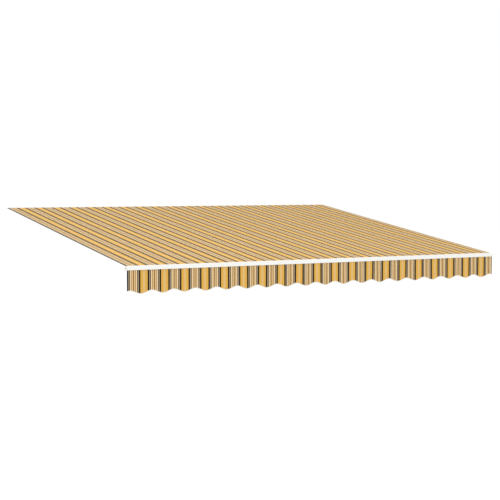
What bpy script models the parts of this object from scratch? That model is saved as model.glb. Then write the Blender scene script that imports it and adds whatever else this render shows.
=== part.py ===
"""Striped fabric awning: a sewn canopy and a wavy valance, held by a white front bar.

Metres, +Z up. The origin is the middle of the rear keder rod, the rod that a roller tube would hold.
X runs along the width, the awning projects towards -Y, and the canopy falls towards its front bar.
"""

import math

import bmesh
import bpy
from mathutils import Matrix, Vector

MM = 0.001

# The whole awning
CLOTH_WIDTH = 4.5
PROJECTION = 3.5
PITCH = math.radians(8.05)
CLEARANCE = 0.3 * MM

# The cloth and how it is sewn
CLOTH = 0.5 * MM
WIDTH_COUNT = 4
SEAM_LAP = 22 * MM
SEAM_STEP = 1.5 * MM
SIDE_HEM = 25 * MM
CANOPY_POCKET = 35 * MM
VALANCE_POCKET = 20 * MM
HEM_STOP = 6 * MM

# The keder rods and the pockets round them
KEDER_DIAMETER = 5.5 * MM
POCKET_NECK = 0.75 * MM

# The valance
VALANCE_DROP = 224 * MM
WAVE_PITCH = 233.6 * MM
WAVE_RISE = 31 * MM
FIRST_LOW = 147 * MM
BINDING_DEPTH = 8 * MM
BINDING_TAPE = 0.6 * MM

# The front bar's section
BAR_HEIGHT = 42 * MM
BAR_DEPTH = 40 * MM
BAR_WALL = 2 * MM
BAR_PAST_CLOTH = 6 * MM
GROOVE_CLEARANCE = 0.5 * MM
GROOVE_MOUTH = 4 * MM
NOSE_STEP = 2.1 * MM
NOSE_ROUND = 5 * MM
EDGE_ROUND = 1.5 * MM
LIP_ROUND = 0.6 * MM

# The T-slot in the bar's back
SLOT_MOUTH = 8.8 * MM
SLOT_INSIDE = 14.5 * MM
SLOT_DEPTH = 8 * MM
SLOT_LIP = 2.5 * MM

# Screw ports, end caps and their screws
PORT_BORE = 4.2 * MM
PORT_WALL = 1.5 * MM
PORT_FROM_FRONT = 5 * MM
PORT_FROM_BACK = 6.5 * MM
CAP_THICKNESS = 3 * MM
CAP_EDGE = 0.7 * MM
CAP_HOLE = 4.4 * MM
SCREW_SHANK = 3.6 * MM
SCREW_LENGTH = 16 * MM
SCREW_HEAD = 7.8 * MM
SCREW_HEAD_HEIGHT = 2.4 * MM
SCREW_HEAD_ROUND = 1.2 * MM
RECESS_SPAN = 4.2 * MM
RECESS_ARM = 1.1 * MM
RECESS_DEPTH = 1.3 * MM

# The arm brackets
BRACKET_FROM_MIDDLE = 1.45
BRACKET_LENGTH = 96 * MM
BRACKET_HEIGHT = 28 * MM
BRACKET_PLATE = 6 * MM
BRACKET_ROUND = 4 * MM
EAR_WIDTH = 36 * MM
EAR_REACH = 42 * MM
EAR_THICKNESS = 5 * MM
EAR_GAP = 17 * MM
ARM_PIN_BORE = 10.4 * MM
BOLT_SPACING = 72 * MM

# The bolts and square nuts that hold the brackets
BOLT_DIAMETER = 8 * MM
BOLT_HOLE = 8.8 * MM
BOLT_HEAD_FLATS = 13 * MM
BOLT_HEAD_HEIGHT = 5.3 * MM
BOLT_PAST_NUT = 0.8 * MM
NUT_SIDE = 13 * MM
NUT_THICKNESS = 5 * MM
NUT_ROUND = 0.6 * MM

# How finely round shapes are divided, and how near two points are to be one
WAVE_STEPS = 10
SHORTEST_STEP = 1 * MM
BEAD_STEPS = 14
CHANNEL_STEPS = 14
CORNER_STEPS = 4
EAR_STEPS = 12
ROUND_SIDES = 16
SAME_PLACE = 0.001 * MM

# Worked out from the sizes above: the cloth's layers and the grooves that hold them
LAYER_STEP = CLOTH + CLEARANCE
POCKET_RADIUS = KEDER_DIAMETER / 2 + CLEARANCE + CLOTH / 2
CHANNEL_RADIUS = POCKET_RADIUS + LAYER_STEP + CLOTH / 2 + GROOVE_CLEARANCE
CHANNEL_INSET = CHANNEL_RADIUS + BAR_WALL

# Worked out: where the canopy and the bar meet
SLOPE = Vector((0, math.cos(PITCH), math.sin(PITCH)))
ABOVE = Vector((0, -math.sin(PITCH), math.cos(PITCH)))
CANOPY_LENGTH = (PROJECTION - CHANNEL_INSET) / math.cos(PITCH)
BAR_FRONT = -PROJECTION
BAR_BACK = BAR_FRONT + BAR_DEPTH
BAR_BOTTOM = -CANOPY_LENGTH * math.sin(PITCH) + CHANNEL_INSET - BAR_HEIGHT
BAR_LENGTH = CLOTH_WIDTH + 2 * BAR_PAST_CLOTH
BAR_BACK_HEIGHT = BAR_HEIGHT - CHANNEL_INSET - GROOVE_MOUTH / 2 - NOSE_STEP
SLOT_CENTRE = BAR_BACK_HEIGHT / 2
VALANCE_BEAD = Vector((0, BAR_FRONT + CHANNEL_INSET, BAR_BOTTOM + CHANNEL_INSET))

# Worked out: the ports' centres in the bar's section, measured from its front face and underside
CHAMBER_LOW = 2 * CHANNEL_INSET - BAR_WALL
CHAMBER_TOP = BAR_HEIGHT - 2 * CHANNEL_INSET
CHAMBER_BACK = BAR_DEPTH - SLOT_LIP - SLOT_DEPTH - BAR_WALL
PORTS = (
    Vector((PORT_FROM_FRONT, (CHAMBER_LOW + BAR_WALL + CHAMBER_TOP) / 2)),
    Vector((BAR_DEPTH - PORT_FROM_BACK, (BAR_BACK_HEIGHT + SLOT_CENTRE + SLOT_INSIDE / 2) / 2)),
    Vector((BAR_DEPTH - PORT_FROM_BACK, (SLOT_CENTRE - SLOT_INSIDE / 2) / 2)),
)


def clear_scene():
    for old in list(bpy.data.objects):
        bpy.data.objects.remove(old, do_unlink=True)


def material(name, colour, roughness, metallic=0.0):
    made = bpy.data.materials.new(name)
    made.use_nodes = True
    made.diffuse_color = (*colour, 1)
    shader = made.node_tree.nodes["Principled BSDF"]
    shader.inputs["Base Color"].default_value = (*colour, 1)
    shader.inputs["Roughness"].default_value = roughness
    shader.inputs["Metallic"].default_value = metallic
    return made


def add_mesh(name, mesh, finish=None, location=(0, 0, 0)):
    made = bpy.data.objects.new(name, mesh)
    made.location = location
    bpy.context.scene.collection.objects.link(made)
    if finish and not mesh.materials:
        mesh.materials.append(finish)
    return made


def to_mesh(name, bm):
    mesh = bpy.data.meshes.new(name)
    bm.to_mesh(mesh)
    bm.free()
    return mesh


def arc(centre, radius, start, end, steps):
    """Points from one angle to another, in degrees, both ends included."""
    angles = [math.radians(start + (end - start) * step / steps) for step in range(steps + 1)]
    return [Vector(centre) + radius * Vector((math.cos(angle), math.sin(angle))) for angle in angles]


def circle(centre, radius, sides=ROUND_SIDES):
    return arc(centre, radius, 0, 360, sides)[:-1]


def rounded(corners):
    """An outline through (x, y, radius) corners, each rounded by an arc of its radius."""
    outline = []
    for index, (x, y, radius) in enumerate(corners):
        corner = Vector((x, y))
        if not radius:
            outline.append(corner)
            continue
        before = (Vector(corners[index - 1][:2]) - corner).normalized()
        after = (Vector(corners[(index + 1) % len(corners)][:2]) - corner).normalized()
        half = before.angle(after) / 2
        centre = corner + (before + after).normalized() * radius / math.sin(half)
        start = corner + before * radius / math.tan(half) - centre
        turn = start.angle_signed(corner + after * radius / math.tan(half) - centre)
        for step in range(CORNER_STEPS + 1):
            angle = math.atan2(start.y, start.x) - turn * step / CORNER_STEPS
            outline.append(centre + radius * Vector((math.cos(angle), math.sin(angle))))
    return outline


def rounded_box(width, height, radius):
    """A rectangle about (0, 0) with its corners rounded."""
    signs = ((-1, -1), (1, -1), (1, 1), (-1, 1))
    return rounded([(across * width / 2, up * height / 2, radius) for across, up in signs])


def prism(outlines, to_space, travel):
    """A closed body: the area inside the first outline, less the others, carried along travel."""
    bm = bmesh.new()
    edges = []
    for outline in outlines:
        loop = [bm.verts.new(to_space(point)) for point in outline]
        edges += [bm.edges.new(pair) for pair in zip(loop, loop[1:] + loop[:1])]
    bmesh.ops.triangle_fill(bm, use_beauty=True, edges=edges)
    carried = bmesh.ops.extrude_face_region(bm, geom=bm.faces[:])["geom"]
    moved = [item for item in carried if isinstance(item, bmesh.types.BMVert)]
    bmesh.ops.translate(bm, vec=travel, verts=moved)
    bmesh.ops.recalc_face_normals(bm, faces=bm.faces[:])
    return bm


def turned(profile, sides=ROUND_SIDES):
    """A body turned round Z from (radius, height) points, open where the profile ends off the axis."""
    bm = bmesh.new()
    verts = [bm.verts.new((radius, 0, height)) for radius, height in profile]
    edges = [bm.edges.new(pair) for pair in zip(verts, verts[1:])]
    turn = {"cent": (0, 0, 0), "axis": (0, 0, 1), "angle": math.tau}
    bmesh.ops.spin(bm, geom=verts + edges, steps=sides, use_merge=True, **turn)
    bmesh.ops.remove_doubles(bm, verts=bm.verts[:], dist=SAME_PLACE)
    return bm


# Sewn cloth


def bead():
    """A pocket's turn round a rod at (0, 0), from the neck of its upper layer to the neck of its lower one.

    The cloth leaves towards -x, and its two layers lie half a layer step above and below the middle.
    """
    half = LAYER_STEP / 2
    neck = Vector((-POCKET_RADIUS - POCKET_NECK, half))
    tangent = math.degrees(math.atan2(neck.y, neck.x) - math.acos(POCKET_RADIUS / neck.length))
    return [neck, *arc((0, 0), POCKET_RADIUS, tangent, -tangent, BEAD_STEPS), Vector((neck.x, -half))]


def canopy_path():
    """The canopy as (forward from the rear rod, above the layers' middle), from pocket hem to pocket hem."""
    half = LAYER_STEP / 2
    front = [point + Vector((CANOPY_LENGTH, 0)) for point in bead()]
    rear = [Vector((-point.x, point.y)) for point in reversed(bead())]
    hem = CANOPY_POCKET + HEM_STOP
    middle = [Vector((hem, half)), Vector((CANOPY_LENGTH - hem, half))]
    rear_end = Vector((CANOPY_POCKET, -half))
    front_end = Vector((CANOPY_LENGTH - CANOPY_POCKET, -half))
    return [rear_end, *rear, *middle, *front, front_end]


def canopy_space(x, point):
    return Vector((x, 0, 0)) - SLOPE * point.x + ABOVE * point.y


def valance_path():
    """The valance's pocket as (down from its rod, forward of the middle), ending on its front layer."""
    half = LAYER_STEP / 2
    top = [Vector((-point.x, point.y)) for point in reversed(bead())]
    return [Vector((VALANCE_POCKET, -half)), *top, Vector((VALANCE_POCKET + HEM_STOP, half))]


def valance_space(x, point):
    return VALANCE_BEAD + Vector((x, -point.y, -point.x))


def wave(x):
    """How far below its rod the valance's cloth shows at x, before the binding covers its edge."""
    turn = math.tau * (x + CLOTH_WIDTH / 2 - FIRST_LOW) / WAVE_PITCH
    return CHANNEL_INSET + VALANCE_DROP - WAVE_RISE * (1 - math.cos(turn)) / 2


def wave_places(start, end):
    """Evenly stepped places along the wave that lie between two others."""
    step = WAVE_PITCH / WAVE_STEPS
    first = -CLOTH_WIDTH / 2 + FIRST_LOW - math.ceil(FIRST_LOW / step) * step
    count = math.ceil((CLOTH_WIDTH + 2 * step) / step)
    places = [first + step * index for index in range(count)]
    return [x for x in places if start + SHORTEST_STEP < x < end - SHORTEST_STEP]


def offset_path(path, distance):
    """The path moved to its left by a distance, with mitred corners."""
    moved = []
    for index, point in enumerate(path):
        runs = []
        if index > 0:
            runs.append((point - path[index - 1]).normalized())
        if index + 1 < len(path):
            runs.append((path[index + 1] - point).normalized())
        sides = [Vector((-run.y, run.x)) for run in runs]
        middle = sum(sides, Vector((0, 0))).normalized()
        moved.append(point + middle * distance / middle.dot(sides[0]))
    return moved


def width_columns(index):
    """Where a width of cloth starts, steps up over its neighbour and ends, as (x, layers up)."""
    width = CLOTH_WIDTH / WIDTH_COUNT
    left = -CLOTH_WIDTH / 2 + index * width
    right = left + width
    fold = (LAYER_STEP + CLOTH) / 2
    start = left + (CLEARANCE if index else fold)
    if index == WIDTH_COUNT - 1:
        return [(start, 0), (right - fold, 0)]
    return [(start, 0), (right - SEAM_STEP, 0), (right, 1), (right + SEAM_LAP, 1)]


def carry(bm, verts, edges):
    """Extrude a run of edges in place, and give its new vertices, in the old order, and edges."""
    made = bmesh.ops.extrude_edge_only(bm, edges=edges)["geom"]
    new = {item for item in made if isinstance(item, bmesh.types.BMVert)}
    run = []
    for vert in verts:
        neighbours = [edge.other_vert(vert) for edge in vert.link_edges]
        run.append(next(neighbour for neighbour in neighbours if neighbour in new))
    return run, [bm.edges.get(pair) for pair in zip(run, run[1:])]


def sweep(bm, columns):
    """A surface through columns of places, all with as many places. Gives the grid of its vertices."""
    verts = [bm.verts.new(place) for place in columns[0]]
    edges = [bm.edges.new(pair) for pair in zip(verts, verts[1:])]
    grid = [verts]
    for column in columns[1:]:
        verts, edges = carry(bm, verts, edges)
        for vert, place in zip(verts, column):
            vert.co = place
        grid.append(verts)
    return grid


def fold_hem(bm, pair, inwards, under):
    """Fold a side edge under: half a turn of cloth, then a strip lying below the width."""
    radius = LAYER_STEP / 2
    roots = [vert.co.copy() for vert in pair]
    places = [(-point.y, radius - point.x) for point in arc((0, 0), radius, 0, 180, CORNER_STEPS)[1:]]
    places.append((SIDE_HEM, 2 * radius))
    verts, edges = list(pair), [bm.edges.get(pair)]
    for across, down in places:
        verts, edges = carry(bm, verts, edges)
        for vert, root in zip(verts, roots):
            vert.co = root + inwards * across + under * down


def fold_side_hems(bm, index, grid, low, high, under):
    """Hem the outer side of the first and the last width, between two rows of its grid."""
    if index == 0:
        fold_hem(bm, (grid[0][low], grid[0][high]), Vector((1, 0, 0)), under)
    if index == WIDTH_COUNT - 1:
        fold_hem(bm, (grid[-1][low], grid[-1][high]), Vector((-1, 0, 0)), under)


def thicken(name, bm, thickness, finish):
    """Turn a cloth's middle surface into a closed body of its thickness."""
    bmesh.ops.recalc_face_normals(bm, faces=bm.faces[:])
    made = add_mesh(name, to_mesh(name, bm), finish)
    wall = made.modifiers.new("Thickness", "SOLIDIFY")
    wall.thickness = thickness
    wall.offset = 0
    wall.use_even_offset = True
    wall.use_rim = True


def build_canopy(finish):
    path = canopy_path()
    layers = [path, offset_path(path, LAYER_STEP)]
    low = path.index(Vector((CANOPY_POCKET + HEM_STOP, LAYER_STEP / 2)))
    for index in range(WIDTH_COUNT):
        bm = bmesh.new()
        columns = [[canopy_space(x, point) for point in layers[up]] for x, up in width_columns(index)]
        grid = sweep(bm, columns)
        fold_side_hems(bm, index, grid, low, low + 1, -ABOVE)
        thicken(f"canopy_width_{index + 1}", bm, CLOTH, finish)


def build_valance(finish):
    path = valance_path()
    layers = [path, offset_path(path, LAYER_STEP)]
    under_binding = BINDING_DEPTH - BINDING_TAPE - CLEARANCE
    for index in range(WIDTH_COUNT):
        bm = bmesh.new()
        columns = width_columns(index)
        grid = sweep(bm, [[valance_space(x, point) for point in layers[up]] for x, up in columns])
        for column, (x, up) in zip(grid, columns):
            forward = LAYER_STEP * (up + 0.5)
            column.append(bm.verts.new(valance_space(x, Vector((wave(x) - HEM_STOP, forward)))))
            column.append(bm.verts.new(valance_space(x, Vector((wave(x) + under_binding, forward)))))
        for number, ((start, up), (end, next_up)) in enumerate(zip(columns, columns[1:])):
            edge = []
            for x in wave_places(start, end):
                forward = LAYER_STEP * (up + (next_up - up) * (x - start) / (end - start) + 0.5)
                edge.append(bm.verts.new(valance_space(x, Vector((wave(x) + under_binding, forward)))))
            bm.faces.new([*grid[number][-3:], *edge, *reversed(grid[number + 1][-3:])])
        fold_side_hems(bm, index, grid, -3, -2, Vector((0, 1, 0)))
        thicken(f"valance_width_{index + 1}", bm, CLOTH, finish)


def binding_columns():
    """Where the binding is shaped, as (x, layers that its front leg stands out over a seam)."""
    columns = [(-CLOTH_WIDTH / 2, 0), (CLOTH_WIDTH / 2, 0)]
    seams = [CLOTH_WIDTH * (index / WIDTH_COUNT - 0.5) for index in range(1, WIDTH_COUNT)]
    clear = [-CLOTH_WIDTH / 2]
    for seam in seams:
        start = seam - SEAM_STEP - CLEARANCE
        end = seam + SEAM_LAP + CLEARANCE
        columns += [(start - SEAM_STEP, 0), (start, 1), (end, 1), (end + SEAM_STEP, 0)]
        columns += [(x, 1) for x in wave_places(start, end)]
        clear += [start - SEAM_STEP, end + SEAM_STEP]
    clear.append(CLOTH_WIDTH / 2)
    for start, end in zip(clear[::2], clear[1::2]):
        columns += [(x, 0) for x in wave_places(start, end)]
    return sorted(columns)


def build_binding(finish):
    """The tape folded over the wavy edge, in front of and behind the cloth."""
    reach = CLOTH / 2 + CLEARANCE + BINDING_TAPE / 2
    columns = []
    for x, up in binding_columns():
        top, bottom = wave(x), wave(x) + BINDING_DEPTH - BINDING_TAPE / 2
        front = LAYER_STEP * (up + 0.5) + reach
        back = LAYER_STEP / 2 - reach
        section = [(top, front), (bottom, front), (bottom, back), (top, back)]
        columns.append([valance_space(x, Vector(point)) for point in section])
    bm = bmesh.new()
    sweep(bm, columns)
    thicken("valance_binding", bm, BINDING_TAPE, finish)


def build_keder(name, centre, length, finish):
    """A round rod along X."""
    section = circle((0, 0), KEDER_DIAMETER / 2)
    start = Vector(centre) - Vector((length / 2, 0, 0))
    bm = prism([section], lambda point: start + Vector((0, point.x, point.y)), (length, 0, 0))
    add_mesh(name, to_mesh(name, bm), finish)


# Front bar


def nose():
    """The canopy groove's middle, its mouth's upper and lower lips, and the corner above them.

    The mouth faces up the canopy, so the face with the two lips leans by the canopy's pitch.
    """
    centre = Vector((CHANNEL_INSET, BAR_HEIGHT - CHANNEL_INSET))
    out = Vector((math.cos(PITCH), math.sin(PITCH)))
    side = Vector((-out.y, out.x)) * GROOVE_MOUTH / 2
    mouth = centre + out * CHANNEL_INSET
    rise = (BAR_HEIGHT - mouth.y) / math.cos(PITCH)
    top_back = (mouth.x - rise * math.sin(PITCH), BAR_HEIGHT, LIP_ROUND)
    return centre, mouth + side, mouth - side, top_back


def bar_outline():
    """The bar's section as (behind the front face, above the underside), with its grooves and T-slot."""
    centre, upper_lip, lower_lip, top_back = nose()
    half = GROOVE_MOUTH / 2
    spread = math.degrees(math.asin(half / CHANNEL_RADIUS))
    tilt = math.degrees(PITCH)
    canopy_groove = arc(centre, CHANNEL_RADIUS, tilt + spread, tilt + 360 - spread, CHANNEL_STEPS)
    valance_centre = (CHANNEL_INSET, CHANNEL_INSET)
    valance_groove = arc(valance_centre, CHANNEL_RADIUS, spread - 90, 270 - spread, CHANNEL_STEPS)
    mouth_low, mouth_high = SLOT_CENTRE - SLOT_MOUTH / 2, SLOT_CENTRE + SLOT_MOUTH / 2
    slot_low, slot_high = SLOT_CENTRE - SLOT_INSIDE / 2, SLOT_CENTRE + SLOT_INSIDE / 2
    lip = BAR_DEPTH - SLOT_LIP
    floor = lip - SLOT_DEPTH
    corners = [
        (CHANNEL_INSET - half, 0, LIP_ROUND),
        (0, 0, EDGE_ROUND),
        (0, BAR_HEIGHT, NOSE_ROUND),
        top_back,
        (*upper_lip, LIP_ROUND),
        *[(*point, 0) for point in canopy_groove],
        (*lower_lip, LIP_ROUND),
        (lower_lip.x, BAR_BACK_HEIGHT, LIP_ROUND),
        (BAR_DEPTH, BAR_BACK_HEIGHT, EDGE_ROUND),
        (BAR_DEPTH, mouth_high, LIP_ROUND),
        (lip, mouth_high, 0),
        (lip, slot_high, 0),
        (floor, slot_high, LIP_ROUND),
        (floor, slot_low, LIP_ROUND),
        (lip, slot_low, 0),
        (lip, mouth_low, 0),
        (BAR_DEPTH, mouth_low, LIP_ROUND),
        (BAR_DEPTH, 0, EDGE_ROUND),
        (CHANNEL_INSET + half, 0, LIP_ROUND),
        *[(*point, 0) for point in valance_groove],
    ]
    return rounded(corners)


def cap_outline():
    """The bar's section without its grooves and slot."""
    _, upper_lip, lower_lip, top_back = nose()
    corners = [
        (0, 0, EDGE_ROUND),
        (0, BAR_HEIGHT, NOSE_ROUND),
        top_back,
        (*upper_lip, 0),
        (*lower_lip, 0),
        (lower_lip.x, BAR_BACK_HEIGHT, LIP_ROUND),
        (BAR_DEPTH, BAR_BACK_HEIGHT, EDGE_ROUND),
        (BAR_DEPTH, 0, EDGE_ROUND),
    ]
    return rounded(corners)


def chamber_outlines():
    """The bar's two hollow chambers, the upper one with a screw port's boss on the front wall."""
    port = PORTS[0]
    boss = PORT_BORE / 2 + PORT_WALL
    low = CHAMBER_LOW + BAR_WALL
    upper = [
        (BAR_WALL, low, LIP_ROUND),
        (BAR_WALL, port.y - boss, 0),
        *[(*point, 0) for point in arc(port, boss, -90, 90, ROUND_SIDES // 2)],
        (BAR_WALL, port.y + boss, 0),
        (BAR_WALL, CHAMBER_TOP, LIP_ROUND),
        (CHAMBER_BACK, CHAMBER_TOP, LIP_ROUND),
        (CHAMBER_BACK, low, LIP_ROUND),
    ]
    lower = [
        (2 * CHANNEL_INSET, BAR_WALL, LIP_ROUND),
        (2 * CHANNEL_INSET, CHAMBER_LOW, LIP_ROUND),
        (CHAMBER_BACK, CHAMBER_LOW, LIP_ROUND),
        (CHAMBER_BACK, BAR_WALL, LIP_ROUND),
    ]
    return [rounded(upper), rounded(lower)]


def bar_space(x):
    return lambda point: Vector((x, BAR_FRONT + point.x, BAR_BOTTOM + point.y))


def build_bar(finish):
    ports = [circle(port, PORT_BORE / 2) for port in PORTS]
    outlines = [bar_outline(), *chamber_outlines(), *ports]
    bm = prism(outlines, bar_space(-BAR_LENGTH / 2), (BAR_LENGTH, 0, 0))
    add_mesh("front_bar", to_mesh("front_bar", bm), finish)


def build_end_cap(name, side, finish):
    """A plate with a rounded outer rim, over the bar's left end (side -1) or its right end (side 1)."""
    holes = [circle(port, CAP_HOLE / 2) for port in PORTS]
    inner = side * (BAR_LENGTH / 2 + CLEARANCE)
    bm = prism([cap_outline(), *holes], bar_space(inner), (side * CAP_THICKNESS, 0, 0))
    outer = inner + side * CAP_THICKNESS
    bores = [Vector((BAR_FRONT + port.x, BAR_BOTTOM + port.y)) for port in PORTS]

    def on_rim(edge):
        outside = all(abs(vert.co.x - outer) < SAME_PLACE for vert in edge.verts)
        turns_back = edge.calc_face_angle() > math.radians(45)
        place = Vector(edge.verts[0].co.yz)
        return outside and turns_back and all((place - bore).length > CAP_HOLE for bore in bores)

    rim = [edge for edge in bm.edges if on_rim(edge)]
    bmesh.ops.bevel(bm, geom=rim, offset=CAP_EDGE, segments=2, profile=0.5, affect="EDGES", material=-1)
    add_mesh(name, to_mesh(name, bm), finish)


def screw_mesh():
    """A pan-head screw along Z, its head's top at the head height, with a cross recess."""
    head, shank = SCREW_HEAD / 2, SCREW_SHANK / 2
    dome = arc((head - SCREW_HEAD_ROUND, SCREW_HEAD_HEIGHT - SCREW_HEAD_ROUND), SCREW_HEAD_ROUND, 90, 0, 2)
    profile = [*dome, (head, 0), (shank, 0), (shank, shank - SCREW_LENGTH), (0, -SCREW_LENGTH)]
    bm = turned(profile)
    rim = [edge for edge in bm.edges if edge.is_boundary]
    span, arm = RECESS_SPAN / 2, RECESS_ARM / 2
    quarter = [(span, -arm), (span, arm), (arm, arm)]
    turns = [Matrix.Rotation(math.radians(angle), 2) for angle in (0, 90, 180, 270)]
    outline = [turn @ Vector(point) for turn in turns for point in quarter]
    loop = [bm.verts.new((point.x, point.y, SCREW_HEAD_HEIGHT)) for point in outline]
    cross = [bm.edges.new(pair) for pair in zip(loop, loop[1:] + loop[:1])]
    bmesh.ops.triangle_fill(bm, use_beauty=True, edges=rim + cross)
    made = bmesh.ops.extrude_edge_only(bm, edges=cross)["geom"]
    sunk = [item for item in made if isinstance(item, bmesh.types.BMVert)]
    bmesh.ops.translate(bm, vec=(0, 0, -RECESS_DEPTH), verts=sunk)
    floor = [item for item in made if isinstance(item, bmesh.types.BMEdge) and set(item.verts) <= set(sunk)]
    bmesh.ops.triangle_fill(bm, use_beauty=True, edges=floor)
    bmesh.ops.recalc_face_normals(bm, faces=bm.faces[:])
    return to_mesh("cap_screw", bm)


def build_cap_screws(label, side, mesh, finish):
    """Three screws through one end cap into the bar's ports."""
    seat = side * (BAR_LENGTH / 2 + CLEARANCE + CAP_THICKNESS + CLEARANCE)
    for number, port in enumerate(PORTS, 1):
        place = bar_space(seat)(port)
        screw = add_mesh(f"cap_screw_{label}_{number}", mesh, finish, place)
        screw.rotation_euler = (0, side * math.pi / 2, 0)


# Arm brackets


def joined(bodies, name):
    """One mesh from bodies that overlap."""
    parts = [add_mesh(name, to_mesh(name, bm)) for bm in bodies]
    base = parts[0]
    for other in parts[1:]:
        join = base.modifiers.new("Join", "BOOLEAN")
        join.operation = "UNION"
        join.object = other
    graph = bpy.context.evaluated_depsgraph_get()
    mesh = bpy.data.meshes.new_from_object(base.evaluated_get(graph))
    for part in parts:
        bpy.data.objects.remove(part, do_unlink=True)
    return mesh


def build_bracket_mesh():
    """A plate that bolts to the bar's back, with two ears behind it for the pin of an arm."""
    holes = [circle((side * BOLT_SPACING / 2, 0), BOLT_HOLE / 2) for side in (-1, 1)]
    outlines = [rounded_box(BRACKET_LENGTH, BRACKET_HEIGHT, BRACKET_ROUND), *holes]
    plate = prism(outlines, lambda point: (point.x, 0, point.y), (0, BRACKET_PLATE, 0))
    half = EAR_WIDTH / 2
    root = BRACKET_PLATE / 2
    pin = (0, BRACKET_PLATE + EAR_REACH - half)
    outline = [Vector((-half, root)), Vector((half, root)), *arc(pin, half, 0, 180, EAR_STEPS)]
    ears = []
    for bottom in (EAR_GAP / 2, -EAR_GAP / 2 - EAR_THICKNESS):
        bore = circle(pin, ARM_PIN_BORE / 2)
        ears.append(prism([outline, bore], lambda point: (point.x, point.y, bottom), (0, 0, EAR_THICKNESS)))
    return joined([plate, *ears], "arm_bracket")


def build_bolt_mesh():
    """A hexagon-head bolt along Y, its head behind its seat at y = 0."""
    stack = CLEARANCE + BRACKET_PLATE + CLEARANCE + SLOT_LIP + CLEARANCE + NUT_THICKNESS + BOLT_PAST_NUT
    sink = BOLT_HEAD_HEIGHT / 2
    hexagon = arc((0, 0), BOLT_HEAD_FLATS / math.sqrt(3), 0, 360, 6)[:-1]
    head = prism([hexagon], lambda point: (point.x, 0, point.y), (0, BOLT_HEAD_HEIGHT, 0))
    section = circle((0, 0), BOLT_DIAMETER / 2)
    shank = prism([section], lambda point: (point.x, -stack, point.y), (0, stack + sink, 0))
    return joined([head, shank], "bracket_bolt")


def build_nut_mesh():
    """A square nut along Y, its seat at y = 0 and its body in front of it."""
    outlines = [rounded_box(NUT_SIDE, NUT_SIDE, NUT_ROUND), circle((0, 0), BOLT_DIAMETER / 2 + CLEARANCE)]
    bm = prism(outlines, lambda point: (point.x, 0, point.y), (0, -NUT_THICKNESS, 0))
    return to_mesh("bracket_nut", bm)


def build_brackets(bracket_finish, fastener_finish):
    bracket, bolt, nut = build_bracket_mesh(), build_bolt_mesh(), build_nut_mesh()
    height = BAR_BOTTOM + SLOT_CENTRE
    plate_front = BAR_BACK + CLEARANCE
    bolt_seat = plate_front + BRACKET_PLATE + CLEARANCE
    nut_seat = BAR_BACK - SLOT_LIP - CLEARANCE
    for label, side in (("left", -1), ("right", 1)):
        middle = side * BRACKET_FROM_MIDDLE
        add_mesh(f"arm_bracket_{label}", bracket, bracket_finish, (middle, plate_front, height))
        for number, offset in enumerate((-BOLT_SPACING / 2, BOLT_SPACING / 2), 1):
            x = middle + offset
            add_mesh(f"bracket_bolt_{label}_{number}", bolt, fastener_finish, (x, bolt_seat, height))
            add_mesh(f"bracket_nut_{label}_{number}", nut, fastener_finish, (x, nut_seat, height))


def main():
    clear_scene()
    cloth = material("woven awning cloth", (0.75, 0.47, 0.17), 0.9)
    rod = material("keder PVC", (0.75, 0.75, 0.72), 0.5)
    tape = material("off-white binding tape", (0.9, 0.89, 0.85), 0.85)
    coated = material("white powder coat", (0.92, 0.92, 0.9), 0.35)
    moulded = material("white moulded plastic", (0.9, 0.9, 0.88), 0.45)
    steel = material("zinc-plated steel", (0.62, 0.62, 0.6), 0.35, 1.0)

    build_canopy(cloth)
    build_valance(cloth)
    build_binding(tape)
    build_keder("rear_keder", (0, 0, 0), CLOTH_WIDTH, rod)
    build_keder("front_keder", canopy_space(0, Vector((CANOPY_LENGTH, 0))), BAR_LENGTH, rod)
    build_keder("valance_keder", VALANCE_BEAD, BAR_LENGTH, rod)
    build_bar(coated)
    screw = screw_mesh()
    for label, side in (("left", -1), ("right", 1)):
        build_end_cap(f"end_cap_{label}", side, moulded)
        build_cap_screws(label, side, screw, steel)
    build_brackets(coated, steel)


if __name__ == "__main__":
    main()
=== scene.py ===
# Striped fabric awning: sewn cloth in place of the frame's plain solids, a finish for every piece,
# and a white studio stage.
import math

import bmesh
import bpy
from bpy.props import FloatProperty, FloatVectorProperty, PointerProperty
from mathutils import Matrix, Vector


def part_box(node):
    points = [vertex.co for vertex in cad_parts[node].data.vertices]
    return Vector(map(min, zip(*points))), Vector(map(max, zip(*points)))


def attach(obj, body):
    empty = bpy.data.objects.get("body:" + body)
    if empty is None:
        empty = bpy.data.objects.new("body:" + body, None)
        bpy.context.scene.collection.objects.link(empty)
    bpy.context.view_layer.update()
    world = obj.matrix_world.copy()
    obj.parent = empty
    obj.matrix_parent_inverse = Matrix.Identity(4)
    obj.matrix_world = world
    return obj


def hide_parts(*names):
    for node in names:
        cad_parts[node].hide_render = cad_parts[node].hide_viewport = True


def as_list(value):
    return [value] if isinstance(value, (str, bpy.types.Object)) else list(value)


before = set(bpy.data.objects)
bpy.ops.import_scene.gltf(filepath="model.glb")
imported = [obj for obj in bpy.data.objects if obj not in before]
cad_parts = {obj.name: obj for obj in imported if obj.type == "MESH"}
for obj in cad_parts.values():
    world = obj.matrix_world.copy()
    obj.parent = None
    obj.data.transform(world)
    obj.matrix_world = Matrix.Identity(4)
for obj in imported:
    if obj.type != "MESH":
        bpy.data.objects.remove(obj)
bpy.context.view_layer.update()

bl_info = {
    "name": "Striped fabric awning",
    "version": (1, 0, 0),
    "blender": (4, 5, 0),
    "location": "3D View > Sidebar > Awning",
    "description": "Sews the cloth of a striped awning, finishes its bar and fittings, and lights them",
    "category": "Object",
}

MM = 0.001

# The canopy and the valance are each sewn from this many widths of cloth
WIDTH_COUNT = 4

# Places and sizes that the frame gives


def middle(node):
    """The middle of a node seen from its end, at x = 0."""
    low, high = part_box(node)
    return Vector((0, (low.y + high.y) / 2, (low.z + high.z) / 2))


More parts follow.
